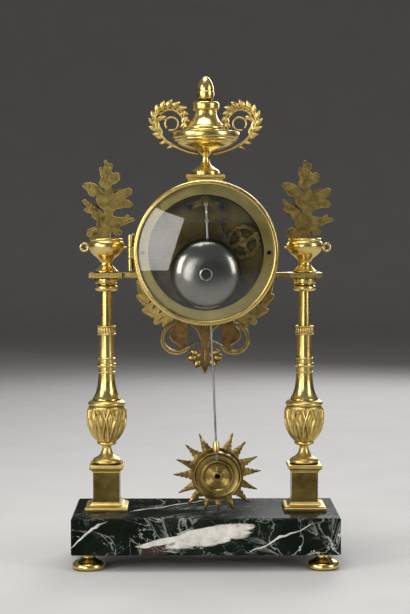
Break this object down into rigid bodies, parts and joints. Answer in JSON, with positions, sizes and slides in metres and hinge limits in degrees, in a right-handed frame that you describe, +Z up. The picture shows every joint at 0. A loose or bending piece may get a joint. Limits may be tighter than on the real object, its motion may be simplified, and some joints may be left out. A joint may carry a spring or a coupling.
{
  "type": "portico clock",
  "caption": "Portico mantel clock: striking drum movement between turned columns on a marble plinth, with urn crest, sunburst pendulum and hinged glazed doors.",
  "frame": {"origin": "centre of the footprint, on the surface the feet rest on", "axes": "+Z up; the dial faces -Y and the bell side faces +Y; +X to the right of someone facing the dial"},
  "size_m": [0.224, 0.1018, 0.413],
  "materials": {
    "marble": "polished",
    "gilt": "burnished gilt",
    "aged_gilt": "aged",
    "brass": "satin",
    "steel": "satin",
    "blued_steel": "blued",
    "glass": "clear",
    "enamel": "glazed",
    "silk": "twisted"
  },
  "bodies": {
    "case": {"marble_plinth": "marble", "feet": "gilt", "tie_rods": "steel", "pedestal_bases": "gilt", "pedestal_dies": "aged_gilt", "pedestal_caps": "gilt", "lotus_cups": "gilt", "column_shaft_left": "gilt", "column_shaft_right": "gilt", "column_collars": "gilt", "column_capitals": "gilt", "struts": "gilt", "vase_left": "gilt", "vase_right": "gilt", "flower_spray_left": "aged_gilt", "flower_spray_right": "aged_gilt", "drum_shell": "gilt", "rear_ring": "brass", "hinge_pins": "steel", "crest_plinth": "gilt", "urn_bowl": "gilt", "urn_lid": "gilt", "urn_finial": "gilt", "laurel_handle_left": "gilt", "laurel_handle_right": "gilt", "apron": "aged_gilt", "dial": "enamel", "dial_plate": "brass", "front_plate": "brass", "back_plate": "brass", "plate_pillars": "brass", "back_cock": "brass", "movement_screws": "blued_steel", "bell": "steel", "bell_stand": "brass"},
    "rear_door": {"rear_bezel": "gilt", "rear_glass": "glass"},
    "front_door": {"front_bezel": "gilt", "front_glass": "glass"},
    "centre_arbor": {"centre_wheel": "brass"},
    "hands": {"cannon_pinion": "brass", "minute_hand": "blued_steel"},
    "going_barrel_body": {"going_barrel": "brass"},
    "intermediate_arbor": {"intermediate_wheel": "brass"},
    "third_arbor": {"third_wheel": "brass"},
    "escape_arbor": {"escape_wheel": "brass"},
    "minute_wheel_body": {"minute_wheel": "brass"},
    "hour_pipe": {"hour_wheel": "brass", "hour_hand": "blued_steel"},
    "strike_barrel_body": {"strike_barrel": "brass"},
    "count_body": {"count_arbor": "brass", "count_wheel": "brass"},
    "pin_arbor": {"pin_wheel": "brass"},
    "fly_arbor": {"fly": "brass"},
    "hammer_body": {"hammer": "steel"},
    "pallets": {"pallet_anchor": "steel"},
    "pendulum": {"silk_loop": "silk", "pendulum_rod": "steel", "pendulum_bob": "brass", "sun_plate": "aged_gilt"}
  },
  "joints": [
    {"name": "rear_door_swing", "type": "hinge", "parent": "case", "child": "rear_door", "pos_m": [0.0624, 0.04215, 0.2645], "axis": [0, 0, -1], "range_deg": [0, 110]},
    {"name": "front_door_swing", "type": "hinge", "parent": "case", "child": "front_door", "pos_m": [0.0624, -0.04215, 0.2645], "axis": [0, 0, 1], "range_deg": [0, 110]},
    {"name": "pendulum_swing", "type": "hinge", "parent": "case", "child": "pendulum", "pos_m": [0, 0.031, 0.3075], "axis": [0, 1, 0], "range_deg": [-6.9, 2.1]},
    {"name": "pallet_rock", "type": "hinge", "parent": "case", "child": "pallets", "pos_m": [0, 0, 0.3075], "axis": [0, 1, 0], "range_deg": [-6.9, 2.1]},
    {"name": "hands_turn", "type": "hinge", "parent": "case", "child": "hands", "pos_m": [0, 0, 0.2645], "axis": [0, 1, 0], "continuous": true},
    {"name": "centre_turn", "type": "hinge", "parent": "case", "child": "centre_arbor", "pos_m": [0, 0, 0.2645], "axis": [0, 1, 0], "continuous": true},
    {"name": "going_barrel_turn", "type": "hinge", "parent": "case", "child": "going_barrel_body", "pos_m": [0.023, 0, 0.2505], "axis": [0, 1, 0], "continuous": true},
    {"name": "intermediate_turn", "type": "hinge", "parent": "case", "child": "intermediate_arbor", "pos_m": [-0.00017, 0, 0.24425], "axis": [0, 1, 0], "continuous": true},
    {"name": "third_turn", "type": "hinge", "parent": "case", "child": "third_arbor", "pos_m": [0.01186, 0, 0.28036], "axis": [0, 1, 0], "continuous": true},
    {"name": "escape_turn", "type": "hinge", "parent": "case", "child": "escape_arbor", "pos_m": [0, 0, 0.2939], "axis": [0, 1, 0], "continuous": true},
    {"name": "minute_wheel_turn", "type": "hinge", "parent": "case", "child": "minute_wheel_body", "pos_m": [0, 0, 0.2765], "axis": [0, 1, 0], "continuous": true},
    {"name": "hour_turn", "type": "hinge", "parent": "case", "child": "hour_pipe", "pos_m": [0, 0, 0.2645], "axis": [0, 1, 0], "continuous": true},
    {"name": "count_turn", "type": "hinge", "parent": "case", "child": "count_body", "pos_m": [-0.03121, 0, 0.27305], "axis": [0, 1, 0], "continuous": true},
    {"name": "strike_barrel_turn", "type": "hinge", "parent": "case", "child": "strike_barrel_body", "pos_m": [-0.023, 0, 0.2505], "axis": [0, 1, 0], "continuous": true},
    {"name": "pin_wheel_turn", "type": "hinge", "parent": "case", "child": "pin_arbor", "pos_m": [-0.02407, 0, 0.28647], "axis": [0, 1, 0], "continuous": true},
    {"name": "fly_turn", "type": "hinge", "parent": "case", "child": "fly_arbor", "pos_m": [-0.02493, 0, 0.29624], "axis": [0, 1, 0], "continuous": true},
    {"name": "hammer_lift", "type": "hinge", "parent": "case", "child": "hammer_body", "pos_m": [-0.0125, 0, 0.2915], "axis": [0, 1, 0], "range_deg": [0, 14]}
  ],
  "couplings": [
    {"joint": "pallet_rock", "follows": "pendulum_swing", "ratio": 1},
    {"joint": "third_turn", "follows": "escape_turn", "ratio": -0.11111},
    {"joint": "centre_turn", "follows": "escape_turn", "ratio": 0.011111},
    {"joint": "intermediate_turn", "follows": "escape_turn", "ratio": -0.0013889},
    {"joint": "going_barrel_turn", "follows": "escape_turn", "ratio": 0.00019841},
    {"joint": "minute_wheel_turn", "follows": "hands_turn", "ratio": -0.33333},
    {"joint": "hour_turn", "follows": "hands_turn", "ratio": 0.083333},
    {"joint": "pin_wheel_turn", "follows": "fly_turn", "ratio": -0.16667},
    {"joint": "count_turn", "follows": "fly_turn", "ratio": 0.018519},
    {"joint": "strike_barrel_turn", "follows": "fly_turn", "ratio": -0.0026455}
  ]
}
